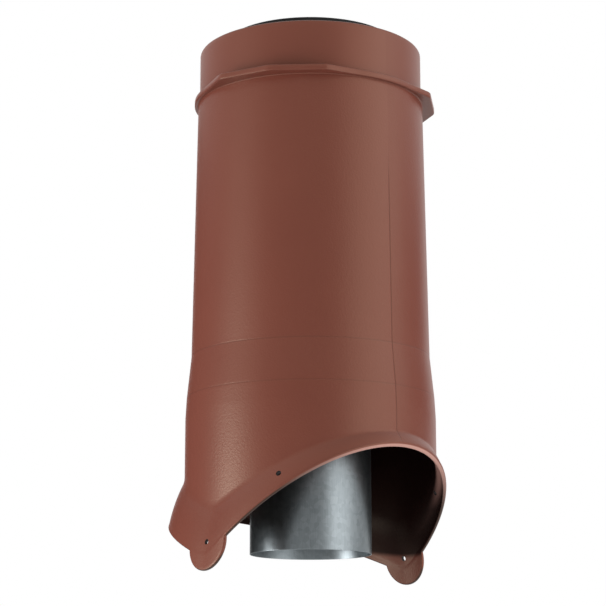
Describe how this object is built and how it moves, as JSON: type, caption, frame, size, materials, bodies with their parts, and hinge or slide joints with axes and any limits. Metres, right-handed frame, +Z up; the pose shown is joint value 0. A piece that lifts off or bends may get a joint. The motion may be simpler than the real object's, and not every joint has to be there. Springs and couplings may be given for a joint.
{
  "type": "roof vent pipe",
  "caption": "Insulated upright roof vent pipe: flared plastic shell with a sloped hem and two screw tabs, cap ledge, and a steel inner duct.",
  "frame": {"origin": "on the pipe's axis, level with the lower end of the inner duct", "axes": "+Z up along the pipe, +X up the roof slope towards the high arch of the hem, screw tabs on -Y and +Y"},
  "size_m": [0.2556, 0.2488, 0.5035],
  "materials": {
    "shell_plastic": "fine-grained satin moulding, brick brown",
    "galvanised_steel": "zinc-coated sheet, satin",
    "sleeve_foam": "dark closed-cell foam, dull",
    "cover_plastic": "black moulding, satin"
  },
  "bodies": {
    "root": {"outer_shell": "shell_plastic", "inner_pipe": "galvanised_steel", "insulation_sleeve": "sleeve_foam", "top_cover": "cover_plastic"}
  },
  "joints": []
}
